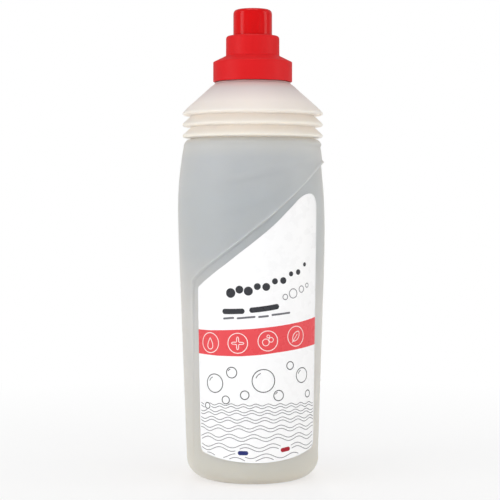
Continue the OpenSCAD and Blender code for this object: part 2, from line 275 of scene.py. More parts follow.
# The blown bottle's form
def flank(z, wide_r, wide_z, low_r, up_r, foot):
    """Radius at height z of a flank, straight at its foot and bowed through its widest place."""
    z = np.asarray(z, float)
    cx = wide_r - low_r
    dx, dz = foot[0] - cx, wide_z - foot[1]
    a = math.atan2(dz, dx) - math.acos(low_r / math.hypot(dx, dz))
    tz, tr = wide_z - low_r * math.sin(a), cx + low_r * math.cos(a)
    up = wide_r - up_r + np.sqrt(np.maximum(up_r ** 2 - (z - wide_z) ** 2, 0))
    low = cx + np.sqrt(np.maximum(low_r ** 2 - (wide_z - z) ** 2, 0))
    straight = foot[0] + (z - foot[1]) * (tr - foot[0]) / (tz - foot[1])
    return np.where(z >= wide_z, up, np.where(z >= tz, low, straight))


def body_r(z):
    side = flank(z, BELLY_R, BELLY_Z, FLANK_LOW, FLANK_UP, (HEEL_R, HEEL_ROUND))
    into_heel = np.clip(HEEL_ROUND - np.asarray(z, float), 0, HEEL_ROUND)
    heel = HEEL_R - HEEL_ROUND + np.sqrt(HEEL_ROUND ** 2 - into_heel ** 2)
    return np.where(into_heel > 0, heel, side)


def panel_r(z):
    return flank(z, PANEL_R, PANEL_Z, PANEL_LOW, PANEL_UP, (PANEL_FOOT_R, PANEL_FOOT_Z))


def ridge_z(x):
    """Height of the ridge at distance x from the middle plane, slightly rounded where it bends."""
    ridge_x, ridge_h = np.array(RIDGE).T
    steps = np.linspace(-RIDGE_EASE, RIDGE_EASE, 11)
    x = np.maximum(np.asarray(x, float), -PANEL_LEFT)
    return RIDGE_Z + np.mean([np.interp(x + s, ridge_x, ridge_h) for s in steps], axis=0)


def soft_min(a, b, k):
    h = np.clip(0.5 + 0.5 * (b - a) / k, 0, 1)
    return b * (1 - h) + a * h - k * h * (1 - h)


def crease(x, z):
    """Soft swells above each crease line, fading out at its ends."""
    total = np.zeros_like(z)
    for points, height, width, reach in CREASES:
        px, pz = np.array(points, float).T
        over = z - np.interp(x, px, pz)
        fade = (smooth((x - px[0]) / CREASE_LEFT_FADE)
                * smooth((px[-1] + CREASE_PAST - x) / CREASE_RIGHT_FADE))
        total += height * fade * np.tanh(over / width) * np.exp(-(over / reach) ** 2)
    return total


def body_form(phi, z, inset):
    """Radius of the body with its sunk panel, or of a surface that lies an inset inside it."""
    full, sunk = body_r(z), panel_r(z)
    x = full * np.cos(phi)
    to_ridge = (ridge_z(x) - z) * RIDGE_SLOPE
    to_left = (x + PANEL_LEFT) / np.maximum(np.abs(np.sin(phi)), 0.45)
    inwards = soft_min(to_ridge, to_left, STEP_CORNER)
    step = STEP_WIDE + inset
    into = smooth(inwards / step + 0.5) * smooth((z - PANEL_LOW_Z + 1.0) / 5.0)
    r = full + np.minimum(sunk - full, 0) * into
    outside = 1 - smooth(inwards / 2 + 1)
    flat = (FLAT_DEEP * smooth((x - FLAT_ACROSS[0]) / FLAT_ACROSS[1])
            * smooth((z - FLAT_UP[0]) / FLAT_UP[1]) * smooth((FLAT_TOP[0] - z) / FLAT_TOP[1]))
    r = r + (crease(x, z) - flat) * outside - inset
    if inset == 0:
        bead = np.exp(-((inwards + step * BEAD_AT) / BEAD_WIDE) ** 2)
        r = r + BEAD_TALL * bead * smooth((z - BEAD_LOW_Z) / BEAD_FADE)
    return r


def neck_rows(inset):
    """Profile from the top of the smooth body over the ribs to the foot of the shoulder."""
    groove = RIB_R - RIB_DEPTH
    top = BODY_H - BODY_ROUND
    last = float(body_r(top)) - BODY_ROUND
    rows = arc(last, top, BODY_ROUND - inset, 15, 60, 6)
    shoulder_a = math.degrees(math.atan2(RIB_R - SHOULDER_R, SHOULDER_Z - TOP_RIB_Z))
    for i in range(RIBS):
        z = BODY_H + RIB_UNDER + i * RIB_PITCH
        from_a, to_a = 240 if i == 0 else 225, 180 + RIB_UNDER_A
        if inset == 0:
            rows += arc(groove + GROOVE_EASE * 0.9, z - RIB_UNDER, GROOVE_EASE, from_a, to_a, 5)
        else:
            rows += arc(groove, z - RIB_UNDER, inset, from_a, to_a, 4)
        over = shoulder_a if i == RIBS - 1 else 45
        tip = max(0.2, RIB_TIP - inset)
        rows += arc(RIB_R - RIB_TIP, z, tip, RIB_UNDER_A, over, 12 if inset == 0 else 5)
        if i < RIBS - 1 and inset == 0:
            rows += [(groove + GROOVE_OPENS[0], z + GROOVE_OPENS[1])]
    return rows


def shell_columns():
    """Nominal angles of the shell's columns in degrees."""
    half = np.concatenate([np.arange(0, EDGE_A - EDGE_BAND, COLUMN_STEP),
                           np.arange(EDGE_A - EDGE_BAND, EDGE_A + EDGE_BAND, EDGE_STEP),
                           np.arange(EDGE_A + EDGE_BAND, 180, COLUMN_STEP)])
    return np.unique(np.round(np.concatenate([half, [180.0], 360 - half[1:]]), 4))


COLUMNS = shell_columns()


def column_angles(z):
    """Angle of each column at its height, so that one column keeps to the upright edge."""
    edge = np.degrees(np.arccos(-PANEL_LEFT / body_r(np.clip(z, HEEL_ROUND, RIDGE_Z + RIDGE[0][1]))))
    mirror = np.where(COLUMNS > 180, 360 - COLUMNS, COLUMNS)
    before, after = (mirror - SHIFT_FROM_A) / (EDGE_A - SHIFT_FROM_A), (180 - mirror) / (180 - EDGE_A)
    phi = mirror + (edge - EDGE_A) * np.clip(np.minimum(before, after), 0, 1)
    return np.radians(np.where(COLUMNS > 180, 360 - phi, phi))


def body_heights(ridge, offsets, low_n, high_n, low_z, high_z):
    """Heights of the body's rows from low_z to high_z; the middle ones run along the ridge."""
    start, stop = ridge + offsets[0], ridge + offsets[-1]
    heights = [low_z + (start - low_z) * t for t in np.linspace(0, 1, low_n, endpoint=False)]
    heights += [ridge + offset for offset in offsets]
    return heights + [stop + (high_z - stop) * t for t in np.linspace(0, 1, high_n + 1)[1:]]


def shell_body(inset, offsets, low_n, high_n, low_z):
    """Rows of the shell's body, outside or an inset inside, from low_z up to the ribs."""
    ridge = ridge_z(MID_R * np.cos(column_angles(np.full(len(COLUMNS), MID_Z))))
    rows = []
    for z in body_heights(ridge, offsets, low_n, high_n, low_z, BODY_H - BODY_ROUND):
        phi = column_angles(z)
        rows.append(ring(body_form(phi, z, inset), z, phi))
    return rows


def inner_base(inset, ring_z):
    """Profile inside the base, from the middle outwards and up the heel."""
    floor_z = PUSH_UP + inset
    return ([(4, floor_z), (12, floor_z), (21.2, PUSH_UP * 0.8 + inset), (23.6, ring_z)]
            + arc(HEEL_R - HEEL_ROUND, HEEL_ROUND, HEEL_ROUND - inset, -90, -10, 7))


def shell_mesh():
    """Skin of the hollow bottle: under the base, up the outside, over the rim, down the inside."""
    phi = np.radians(COLUMNS)
    underside = [(4, PUSH_UP), (10, PUSH_UP - 0.02), (15, PUSH_UP - 0.12), (18, PUSH_UP - 0.4),
                 (21.2, PUSH_UP * 0.8), (22.6, PUSH_UP * 0.55), (23.8, PUSH_UP * 0.26),
                 (24.6, 0.3), (25.2, 0.06)]
    heel = arc(HEEL_R - HEEL_ROUND, HEEL_ROUND, HEEL_ROUND, -90, -HEEL_A - 2, 14)
    shoulder = [(SHOULDER_R + (RIB_R - SHOULDER_R) * t + 0.2,
                 SHOULDER_Z - (SHOULDER_Z - TOP_RIB_Z) * t + 0.55) for t in (0.85, 0.6, 0.35, 0.12)]
    neck = arc(SHOULDER_R - SHOULDER_EASE, SHOULDER_Z + 0.1, SHOULDER_EASE, 40, 0, 3)
    neck += arc(SHOULDER_R - EDGE_EASE, LEDGE_Z - EDGE_EASE, EDGE_EASE, 0, 90, 4)
    neck += arc(NECK_R + EDGE_EASE, LEDGE_Z + EDGE_EASE, EDGE_EASE, 270, 180, 3)
    neck += [(NECK_R, LEDGE_Z + 3.0), (NECK_R, LEDGE_Z + 6.5)]
    neck += arc(NECK_R - RIM_EASE, RIM_Z - RIM_EASE, RIM_EASE, 0, 90, 4)
    neck += arc(BORE_R + EDGE_EASE, RIM_Z - EDGE_EASE, EDGE_EASE, 90, 180, 3)
    neck += [(BORE_R, LEDGE_Z + 6.0), (BORE_R, LEDGE_Z + 2.0), (BORE_R, LEDGE_Z - WALL)]
    neck += [(SHOULDER_R - WALL, SHOULDER_Z - WALL - 0.3)]
    rows = turned(underside + heel, phi)
    rows += shell_body(0.0, OUTER_OFFSETS, 64, 34, HEEL_ROUND * (1 - math.sin(math.radians(HEEL_A))))
    rows += turned(neck_rows(0.0) + shoulder + neck + neck_rows(WALL)[::-1], phi)
    rows += shell_body(WALL, INNER_OFFSETS, 24, 14, INNER_LOW_Z)[::-1]
    rows += turned(inner_base(WALL, 1.9)[::-1], phi)
    return tube(rows, PUSH_UP, PUSH_UP + WALL)


def gel_mesh():
    """The gel, a hair inside the wall, with a low meniscus round its surface."""
    gap = WALL + GEL_GAP
    phi = np.arange(168) / 168 * TAU
    wet_z = FILL_Z - 0.5
    rows = turned(inner_base(gap, 2.0), phi)
    for z in body_heights(ridge_z(MID_R * np.cos(phi)), INNER_OFFSETS, 26, 12, INNER_LOW_Z, wet_z):
        rows.append(ring(body_form(phi, z, gap), z, phi))
    wet_r = body_form(phi, np.full(phi.shape, wet_z), gap)
    rows += [ring(wet_r - back, FILL_Z - down, phi) for back, down in ((0.02, 0.05), (0.5, 0.45), (1.6, 0.8))]
    rows += [ring(wet_r * share, GEL_TOP_Z, phi) for share in (0.7, 0.2)]
    return tube(rows, PUSH_UP + gap, GEL_TOP_Z)


# Materials
def math_node(tree, operation, first, second):
    """Output of a math node over two values."""
    node = tree.nodes.new("ShaderNodeMath")
    node.operation = operation
    tree.links.new(first, node.inputs[0])
    tree.links.new(second, node.inputs[1])
    return node.outputs[0]


class Mat:
    """A node material with one Principled shader and helpers for its procedural parts."""

    def __init__(self, name):
        self.mat = bpy.data.materials.new(name)
        self.mat.use_nodes = True
        self.tree = self.mat.node_tree
        self.shader = self.tree.nodes["Principled BSDF"]
        self.coord = self.tree.nodes.new("ShaderNodeTexCoord")

    def set(self, **values):
        for name, value in values.items():
            self.shader.inputs[name.replace("_", " ")].default_value = value
        return self

    def node(self, kind, **inputs):
        node = self.tree.nodes.new(kind)
        for name, value in inputs.items():
            key = name.replace("_", " ")
            if isinstance(value, bpy.types.NodeSocket):
                self.tree.links.new(value, node.inputs[key])
            else:
                node.inputs[key].default_value = value
        return node

    def link(self, a, b):
        self.tree.links.new(a, b)

    def noise(self, scale, detail, stretch=None):
        vector = self.coord.outputs["Object"]
        if stretch:
            vector = self.node("ShaderNodeMapping", Vector=vector, Scale=stretch).outputs["Vector"]
        node = self.node("ShaderNodeTexNoise", Vector=vector, Scale=scale, Detail=detail, Roughness=0.5)
        return node.outputs["Fac"]

    def span(self, fac, low, high):
        """Maps a factor of 0.3 to 0.7, where a noise mostly lies, onto low to high."""
        node = self.node("ShaderNodeMapRange", Value=fac, From_Min=0.3, From_Max=0.7,
                         To_Min=low, To_Max=high)
        return node.outputs["Result"]

    def blend(self, fac, a, b):
        node = self.tree.nodes.new("ShaderNodeMix")
        node.data_type = "RGBA"
        self.link(fac, node.inputs["Factor"])
        for key, colour in (("A", a), ("B", b)):
            target = next(s for s in node.inputs if s.name == key and s.type == "RGBA")
            if isinstance(colour, bpy.types.NodeSocket):
                self.link(colour, target)
            else:
                target.default_value = (*colour, 1)
        return next(s for s in node.outputs if s.type == "RGBA")

    def colour(self, source):
        self.link(source, self.shader.inputs["Base Color"])
        return self

    def rough(self, source):
        self.link(source, self.shader.inputs["Roughness"])
        return self

    def bump(self, height, distance, strength, chain=None):
        node = self.node("ShaderNodeBump", Height=height, Distance=distance, Strength=strength)
        if chain is not None:
            self.link(chain, node.inputs["Normal"])
        self.link(node.outputs["Normal"], self.shader.inputs["Normal"])
        return node.outputs["Normal"]


def srgb(r, g, b):
    def lin(c):
        c /= 255
        return c / 12.92 if c <= 0.04045 else ((c + 0.055) / 1.055) ** 2.4
    return (lin(r), lin(g), lin(b))


# Tones of the wall as (height, tone), with light and shade painted in: warm and bright at the base as painted
# light from the white floor, greyer round the gel with its tint through the wall painted in, a painted
# highlight along the gel's line, cream on the ribs and the shoulder brightened as painted light against their
# shade, and painted shade and red light from the closure at the neck
BODY_TONES_AND_PAINTED_LIGHT = [(8, (255, 237, 215)), (45, (253, 238, 221)), (95, (237, 233, 224)), (130, (204, 208, 208)),
              (160, (205, 210, 211)), (184, (213, 216, 216)), (190, (228, 228, 222)), (197, (220, 218, 210))]
HEAD_TONES_AND_PAINTED_LIGHT = [(196, (247, 236, 224)), (208, (248, 236, 225)), (216, (239, 229, 223)), (224, (212, 203, 202)),
              (228, (212, 174, 170))]
TONE_SPAN, TONE_PLAY = 250.0, 5
HEAD_FROM_Z = BODY_H - 0.35


def shell_material(name, tones_and_painted_light, see_through, scatter, sheen):
    """Translucent natural polyethylene whose colour changes with height, with light and shade painted in; its
    light reaches scatter mm.
    """
    m = Mat(name).set(IOR=1.5, Transmission_Weight=see_through, Specular_IOR_Level=0.4,
                      Subsurface_Weight=1.0, Subsurface_Radius=(1.0, 0.95, 0.85),
                      Subsurface_Scale=scatter * MM,
                      Sheen_Weight=sheen, Sheen_Roughness=0.5, Sheen_Tint=(1.0, 0.95, 0.86, 1))
    xyz = m.node("ShaderNodeSeparateXYZ", Vector=m.coord.outputs["Object"])
    height = m.node("ShaderNodeMapRange", Value=xyz.outputs["Z"], From_Min=0.0, From_Max=TONE_SPAN * MM)
    # The ramps paint light and shade into the wall by height: floor light at the base, a highlight at the
    # gel's line, shade and red light from the closure at the neck
    ramps = []
    for dimmed in (0, TONE_PLAY):
        ramp = m.node("ShaderNodeValToRGB", Fac=height.outputs["Result"])
        band = ramp.color_ramp
        while len(band.elements) < len(tones_and_painted_light):
            band.elements.new(0.5)
        for element, (z, tone) in zip(band.elements, tones_and_painted_light):
            element.position = z / TONE_SPAN
            element.color = (*srgb(*(c - dimmed for c in tone)), 1)
        ramps.append(ramp.outputs["Color"])
    m.colour(m.blend(m.noise(35, 3), *ramps))
    m.rough(m.span(m.noise(60, 3), 0.38, 0.50))
    grain = m.bump(m.noise(1600, 2), 0.00006, 0.35)
    m.bump(m.noise(45, 2, stretch=(1, 1, 0.45)), 0.0012, 0.25, grain)
    return m.mat


def gel_material():
    m = Mat("cleaning_gel").set(IOR=1.36, Transmission_Weight=1.0, Roughness=0.06)
    m.colour(m.blend(m.noise(20, 2), (0.98, 0.99, 1.0), (1.0, 1.0, 1.0)))
    volume = m.node("ShaderNodeVolumeAbsorption", Color=(*srgb(140, 165, 185), 1), Density=60.0)
    m.link(volume.outputs["Volume"], m.tree.nodes["Material Output"].inputs["Volume"])
    return m.mat


def red_satin():
    m = Mat("closure_satin").set(IOR=1.49, Specular_IOR_Level=0.22)
    m.colour(m.blend(m.noise(90, 4), srgb(212, 20, 24), srgb(219, 24, 29)))
    m.rough(m.span(m.noise(240, 3), 0.44, 0.54))
    grain = m.bump(m.noise(2600, 2), 0.00005, 0.5)
    m.bump(m.noise(120, 2, stretch=(1, 1, 0.2)), 0.0003, 0.2, grain)
    return m.mat


def red_gloss():
    m = Mat("overcap_gloss").set(IOR=1.5, Specular_IOR_Level=0.22)
    m.colour(m.blend(m.noise(70, 3), srgb(208, 4, 8), srgb(215, 8, 12)))
    m.rough(m.span(m.noise(160, 3), 0.10, 0.17))
    m.bump(m.noise(140, 2, stretch=(1, 1, 0.35)), 0.0004, 0.12)
    return m.mat


def foam():
    m = Mat("gasket_foam").set(IOR=1.45)
    m.colour(m.blend(m.noise(900, 3), srgb(236, 235, 230), srgb(246, 246, 243)))
    m.rough(m.span(m.noise(500, 2), 0.6, 0.8))
    m.bump(m.noise(2200, 3), 0.00008, 0.6)
    return m.mat


def printed(name, low, high):
    """Printed film or ink whose colour plays between two tones."""
    m = Mat(name).set(IOR=1.48, Specular_IOR_Level=0.3)
    m.colour(m.blend(m.noise(25, 3), srgb(*low), srgb(*high)))
    m.rough(m.span(m.noise(150, 3), 0.24, 0.33))
    m.bump(m.noise(700, 2), 0.00003, 0.25)
    return m.mat


SHELL = shell_material("bottle_shell", BODY_TONES_AND_PAINTED_LIGHT, 0.15, 4.0, 0.5)
HEAD = shell_material("bottle_head", HEAD_TONES_AND_PAINTED_LIGHT, 0.0, 1.6, 0.3)
GEL = gel_material()
CLOSURE, GLOSS, FOAM = red_satin(), red_gloss(), foam()
PAPER = printed("label_film", (247, 247, 248), (249, 249, 250))
CORAL = printed("ink_coral", (226, 74, 80), (231, 79, 85))
WHITE_INK = printed("ink_white", (250, 226, 224), (252, 232, 230))
DARK_INK = printed("ink_dark", (48, 49, 54), (58, 59, 64))
GREY_INK = printed("ink_grey", (104, 105, 110), (114, 115, 120))
NAVY_INK = printed("ink_navy", (34, 44, 108), (40, 50, 116))
RED_INK = printed("ink_red", (158, 14, 34), (166, 18, 40))

# Bottle and gel
shell_verts, shell_faces = join(shell_mesh(), thread(NECK_R, NECK_CREST, THREAD_Z, 0))
on_head = [min(shell_verts[i][2] for i in face) > HEAD_FROM_Z for face in shell_faces]
shell = mesh_object("bottle_shell", shell_verts, shell_faces, [SHELL, HEAD], on_head, sharp_deg=50)
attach(shell, "bottle")
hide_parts("bottle")

gel = mesh_object("gel_fill", *gel_mesh(), [GEL], sharp_deg=60)
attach(gel, "bottle")
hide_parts("cleaning_gel")

# Closure: up the outside, over the nozzle's tip, down through its bore and under deck and roof
closure_profile = fillet([
    (SKIRT_BORE, SKIRT_Z + 2, 0), (SKIRT_BORE, SKIRT_Z, 0.3), (SKIRT_R, SKIRT_Z, 0.35),
    (SKIRT_R, SKIRT_Z + 4, 0), (SKIRT_R, CONE_Z, 0.7), (TURRET_R + 0.05, TURRET_Z, 0.7),
    (TURRET_R, DECK_Z - 6, 0), (TURRET_R, DECK_Z, TURRET_ROUND + 0.4), (CAP_R + 0.5, DECK_Z, 0),
    (SPIGOT_R, DECK_Z, 0.1), (SPIGOT_R, DECK_Z + SPIGOT_H, 0.4),
    (NOZZLE_FOOT_R, DECK_Z + SPIGOT_H, 0.5), (NOZZLE_TIP_R, NOZZLE_Z, 0.5),
    (NOZZLE_HOLE_R, NOZZLE_Z, 0.25), (NOZZLE_HOLE_R, NOZZLE_Z - 3, 0.3),
    (NOZZLE_BORE_R, DECK_Z - MOULD_WALL, 0.4), (TURRET_R - MOULD_WALL, DECK_Z - MOULD_WALL, 0.6),
    (TURRET_R - MOULD_WALL, ROOF_Z, 0.4), (SKIRT_BORE, ROOF_Z, 0.2), (SKIRT_BORE, SKIRT_Z + 2, 0)], 4)
closure = mesh_object("closure_moulding", *join(
    lathe(closure_profile, 192),
    thread(SKIRT_BORE, CLOSURE_CREST, THREAD_Z - THREAD_PLAY + THREAD_PITCH / 2, 0.5)),
    [CLOSURE], sharp_deg=35)
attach(closure, "closure")
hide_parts("spout_closure")

# Overcap: down the sealing pin, inside the skirt, and up the outside
cap_top, cap_foot, pin_z = DECK_Z + CAP_H, DECK_Z + CAP_GAP, NOZZLE_Z - PIN_LONG
cap_profile = fillet([
    (0, pin_z, 0), (PIN_R, pin_z, 0.4), (PIN_R, cap_top - CAP_ROOF, 0.3),
    (CAP_BORE, cap_top - CAP_ROOF, 0.6), (CAP_BORE, cap_foot, 0.2), (CAP_R, cap_foot, 0.3),
    (CAP_R, DECK_Z + 6, 0), (CAP_R, cap_top - 0.05, CAP_ROUND + 0.3), (5, cap_top, 0),
    (0, cap_top, 0)], 6)
overcap = mesh_object("overcap_moulding", *lathe(cap_profile, 192), [GLOSS], sharp_deg=35)
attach(overcap, "overcap")
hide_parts("overcap")

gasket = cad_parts["gasket"]
gasket.data.materials.clear()
gasket.data.materials.append(FOAM)

# Print: rows of the film, the coral band's edges as (s, z), ink's heights and the strokes' widths
FILM_ROWS = (26, 8, 34)
BAND_TOP = [(-34, 87.7), (-24, 87.7), (-13, 88.3), (0, 89.1), (14, 90.5), (28, 92.2), (43, 94.4)]
BAND_FOOT = [(-34, 74.1), (-20, 73.6), (-7, 73.7), (4, 74.5), (13, 75.6), (28, 77.1), (43, 78.7)]
INK_SUNK, INK_RAISED, THINNEST = 0.01, 0.03, 0.02
BADGE_STROKE, BUBBLE_STROKE, GLINT_STROKE, VEIN_STROKE, WAVE_STROKE = 0.45, 0.5, 0.42, 0.4, 0.38

# Front print, as places and radii on the flat label
DOT_RADII = (2.7, 2.2, 2.5, 1.9, 2.2, 1.7, 1.9, 1.4, 1.6, 1.2)
DOT_FROM_S, DOT_STEP, DOT_LOW_Z, DOT_RISE, DOT_BOW, DOT_SWAY = -12.5, 5.0, 111.2, 0.2, 0.0055, (-0.6, 0.9)
THICK_BARS, THICK_TALL = [(-17.5, 98.6, -4.5, 99.0), (-2.0, 99.4, 15.0, 101.6)], 3.0
SMALL_BUBBLES = [(24.0, 108.4, 2.6), (30.0, 110.6, 1.8), (18.8, 106.6, 1.5), (34.6, 112.6, 1.2)]
FINE_BARS = [(-17.0, -10.5, 94.6), (-9.0, 1.5, 94.9), (3.0, 9.0, 95.7), (10.5, 22.0, 96.7)]
FINE_TALL, FINE_SLOPE = 1.1, 0.09
BADGES, BADGE_R = [(-25.5, 80.7), (-8.5, 81.0), (8.5, 82.3), (26.0, 84.3)], 5.6
BUBBLES = [(-22.5, 58.0, 5.2), (-12.0, 64.5, 3.0), (-15.5, 49.0, 2.2), (30.5, 62.0, 4.2), (22.0, 68.0, 2.2),
           (35.5, 51.0, 2.0), (6.0, 60.0, 6.4), (14.8, 51.5, 2.9), (-4.5, 52.0, 2.4), (-27.5, 45.0, 1.7)]
WAVE_ROWS = (45.0, 41.2, 37.0, 32.2, 27.0, 21.4, 15.6)

# Two small coloured tags near the foot, from one end to the other, and what the waves keep clear of
TAGS, TAG_TALL = [(-8.5, 19.4, -2.5, 19.4), (16.0, 20.4, 22.0, 21.2)], 2.4
TAG_CLEAR_S, TAG_CLEAR_Z, BUBBLE_CLEAR = 3.9, 2.0, 0.5
SIDE_CLEAR, FOOT_CLEAR, BAND_CLEAR = 0.7, 1.0, 0.8

# Back print: two thick bars, nine rows of thin ones in two columns, and ringed badges
BACK_BARS = [(-18.0, 101.0, -4.0, 101.0), (-1.0, 101.0, 20.0, 101.0)]
BACK_ROWS, BACK_TOP_Z, BACK_STEP, BACK_TALL = 9, 63.5, 4.4, 1.0
BACK_BADGES, BACK_BADGE_R = [(-12.0, 80.6), (6.0, 82.0), (24.0, 84.0)], 5.4


# Labels
def spread(z):
    """Share by which the flat label is wider at z than at its foot, and the middle it grows from."""
    half = (LABEL_LEFT + LABEL_RIGHT) / 2
    return LABEL_LEAN * (np.asarray(z) - LABEL_LOW_Z) / half, LABEL_RIGHT - half


def foot_z(s):
    """Height of the label's bowed foot."""
    return LABEL_LOW_Z + LABEL_LOW_R - math.sqrt(LABEL_LOW_R ** 2 - (s - LABEL_LOW_S) ** 2)


def label_chains():
    """Lower and upper outline from left to right, as (column, z); columns follow the label's lean."""
    c, t = LABEL_CORNER, LABEL_TOP_R
    edge_l, edge_r = c - LABEL_LEFT, LABEL_RIGHT - c
    left_end_z = LABEL_MID_Z - LABEL_DROP - c / 3
    left = -LABEL_LEFT - LABEL_LEAN * (left_end_z - LABEL_LOW_Z)
    right = LABEL_RIGHT + LABEL_LEAN * (LABEL_TOP_Z - t - LABEL_LOW_Z)
    lower = arc(edge_l, foot_z(edge_l) + c, c, 180, 258, 16)
    lower += [(s, foot_z(s)) for s in np.linspace(edge_l, edge_r, 40)[1:-1]]
    lower += arc(edge_r, foot_z(edge_r) + c, c, -78, 0, 16)
    upper = arc(right - t, LABEL_TOP_Z - t, t, 0, 90, 24)
    upper += arc(right - t, LABEL_TOP_Z - LABEL_CROWN_R, LABEL_CROWN_R, 90, 130, 16)
    upper += [(s, LABEL_MID_Z + z) for s, z in SLANT]
    upper += arc(left + c / 2, left_end_z, c / 2, 130, 180, 12)
    chains = []
    for chain in (np.array(lower), np.array(upper[::-1])):
        grow, middle = spread(chain[:, 1])
        column = (chain[:, 0] + grow * middle) / (1 + grow)
        chains.append(np.stack([column, chain[:, 1]], 1))
    return chains


LOWER, UPPER = label_chains()


def label_edges(column):
    """Lowest and highest point of the label in a column; the upper bends are slightly rounded."""
    ease = min(1, (column + LABEL_LEFT) / 4, (LABEL_RIGHT - column) / 12)
    steps = column + np.linspace(-1.0, 1.0, 7) * ease
    return (float(np.interp(column, LOWER[:, 0], LOWER[:, 1])),
            float(np.mean(np.interp(steps, UPPER[:, 0], UPPER[:, 1]))))


def wrap(s, z, lift, side):
    """Point of the flat label at (s, z), lifted off the panel; side is -1 in front and 1 behind."""
    x = WRAP_R * np.sin(np.asarray(s) / WRAP_R)
    r = panel_r(z) + lift
    y = np.sqrt(np.maximum(r ** 2 - x ** 2, 0))
    return np.stack(np.broadcast_arrays(x, side * y, z), -1)


def band_z(s, edge):
    return float(np.interp(s, *np.array(edge, float).T))


def corner_steps(radius, angles):
    """Distances from a label's side to the columns that follow its round corner."""
    return [radius * (1 - math.cos(math.radians(a))) for a in angles]


def film_columns():
    left = [-LABEL_LEFT + d for d in corner_steps(LABEL_CORNER, (0, 14, 28, 42, 56, 72, 90))]
    right = [LABEL_RIGHT - d for d in corner_steps(LABEL_TOP_R, (0, 12, 24, 36, 48, 60, 75, 90))]
    between = np.linspace(-LABEL_LEFT + LABEL_CORNER, LABEL_RIGHT - LABEL_TOP_R, 56)
    return sorted({round(float(s), 4) for s in (*left, *right, *between)})


def film_mesh(side):
    """The label's film as a thin closed sheet, whose outer faces carry the coral band."""
    upper, lower = [], []
    columns = film_columns()
    for s in columns:
        low, high = label_edges(s)
        stops = [low, band_z(s, BAND_FOOT), band_z(s, BAND_TOP), high]
        zs = [low]
        for a, b, k in zip(stops, stops[1:], FILM_ROWS):
            zs += [a + (b - a) * i / k for i in range(1, k + 1)]
        zs = np.array(zs)
        grow, middle = spread(zs)
        ss = s * (1 + grow) - grow * middle
        upper.append(wrap(ss, zs, GLUE + FILM, side))
        lower.append(wrap(ss, zs, GLUE, side))
    verts = np.concatenate(upper + lower)
    rows, cols = sum(FILM_ROWS) + 1, len(columns)
    half = rows * cols
    quads, mats = [], []
    for i in range(cols - 1):
        for j in range(rows - 1):
            a = i * rows + j
            quad = (a, a + rows, a + rows + 1, a + 1)
            on_band = FILM_ROWS[0] <= j < FILM_ROWS[0] + FILM_ROWS[1]
            quads += [quad, tuple(half + k for k in quad[::-1])]
            mats += [1 if on_band else 0, 0]
    rim = list(range(rows)) + [i * rows + rows - 1 for i in range(1, cols)]
    rim += [(cols - 1) * rows + j for j in range(rows - 2, -1, -1)]
    rim += [i * rows for i in range(cols - 2, 0, -1)]
    for a, b in zip(rim, rim[1:] + rim[:1]):
        quads.append((a, b, half + b, half + a))
        mats.append(0)
    return verts.tolist(), [quad if side < 0 else quad[::-1] for quad in quads], mats


def ribbon(points, widths, closed=False):
    """Both sides of a stroke along the points, as (left, right, closed)."""
    p = np.asarray(points, float)
    w = np.broadcast_to(np.asarray(widths, float), (len(p),)) / 2
    if closed:
        tangent = np.roll(p, -1, 0) - np.roll(p, 1, 0)
    else:
        tangent = np.gradient(p, axis=0)
    tangent /= np.maximum(np.linalg.norm(tangent, axis=1, keepdims=True), 1e-9)
    normal = np.stack([-tangent[:, 1], tangent[:, 0]], 1)
    return p + normal * w[:, None], p - normal * w[:, None], closed


def circle(s, z, r, n, stroke):
    a = np.arange(n) / n * TAU
    return ribbon(np.stack([s + r * np.cos(a), z + r * np.sin(a)], 1), stroke, True)


def disc(s, z, r, n=16):
    """A filled circle as a ribbon whose width follows the circle."""
    a = np.linspace(0, math.pi, n)
    x = s - r * np.cos(a)
    return ribbon(np.stack([x, np.full(n, z)], 1), np.maximum(2 * r * np.sin(a), THINNEST))


def bar(s0, z0, s1, z1, h, bow=0.0):
    """A bar with round ends from one point to another."""
    length = math.hypot(s1 - s0, z1 - z0)
    n = max(10, int(length / 0.8))
    t = np.concatenate([np.linspace(0, h / 2, 5)[:-1], np.linspace(h / 2, length - h / 2, n),
                        np.linspace(length - h / 2, length, 5)[1:]]) / length
    d = np.minimum(t, 1 - t) * length
    w = 2 * np.sqrt(np.maximum((h / 2) ** 2 - np.maximum(h / 2 - d, 0) ** 2, 0))
    lift = bow * 4 * t * (1 - t)
    points = np.stack([s0 + (s1 - s0) * t, z0 + (z1 - z0) * t - lift], 1)
    return ribbon(points, np.maximum(w, THINNEST))


def stroke(s0, z0, s1, z1, w, step=0.9):
    """A thin straight stroke, cut into short lengths so that it follows the wall."""
    start, way = np.array([s0, z0]), np.array([s1 - s0, z1 - z0])
    n = max(1, int(np.linalg.norm(way) / step))
    return ribbon([start + way * i / n for i in range(n + 1)], w)


def ink(name, shapes, material, side=-1):
    """Printed strokes, each a closed skin of ink on the film."""
    base, top = GLUE + FILM - INK_SUNK, GLUE + FILM + INK_RAISED
    verts, faces = [], []
    for left, right, closed in shapes:
        n = len(left)
        start = len(verts)
        for points, height in ((left, top), (right, top), (right, base), (left, base)):
            verts.extend(wrap(points[:, 0], points[:, 1], height, side).tolist())
        for i in range(n if closed else n - 1):
            j = (i + 1) % n
            for a, b in ((0, 1), (1, 2), (2, 3), (3, 0)):
                faces.append((start + a * n + i, start + b * n + i, start + b * n + j, start + a * n + j))
        if not closed:
            faces.append(tuple(start + a * n for a in (0, 3, 2, 1)))
            faces.append(tuple(start + a * n + n - 1 for a in (0, 1, 2, 3)))
    if side > 0:
        faces = [face[::-1] for face in faces]
    obj = mesh_object(name, verts, faces, [material], sharp_deg=30)
    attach(obj, "bottle")


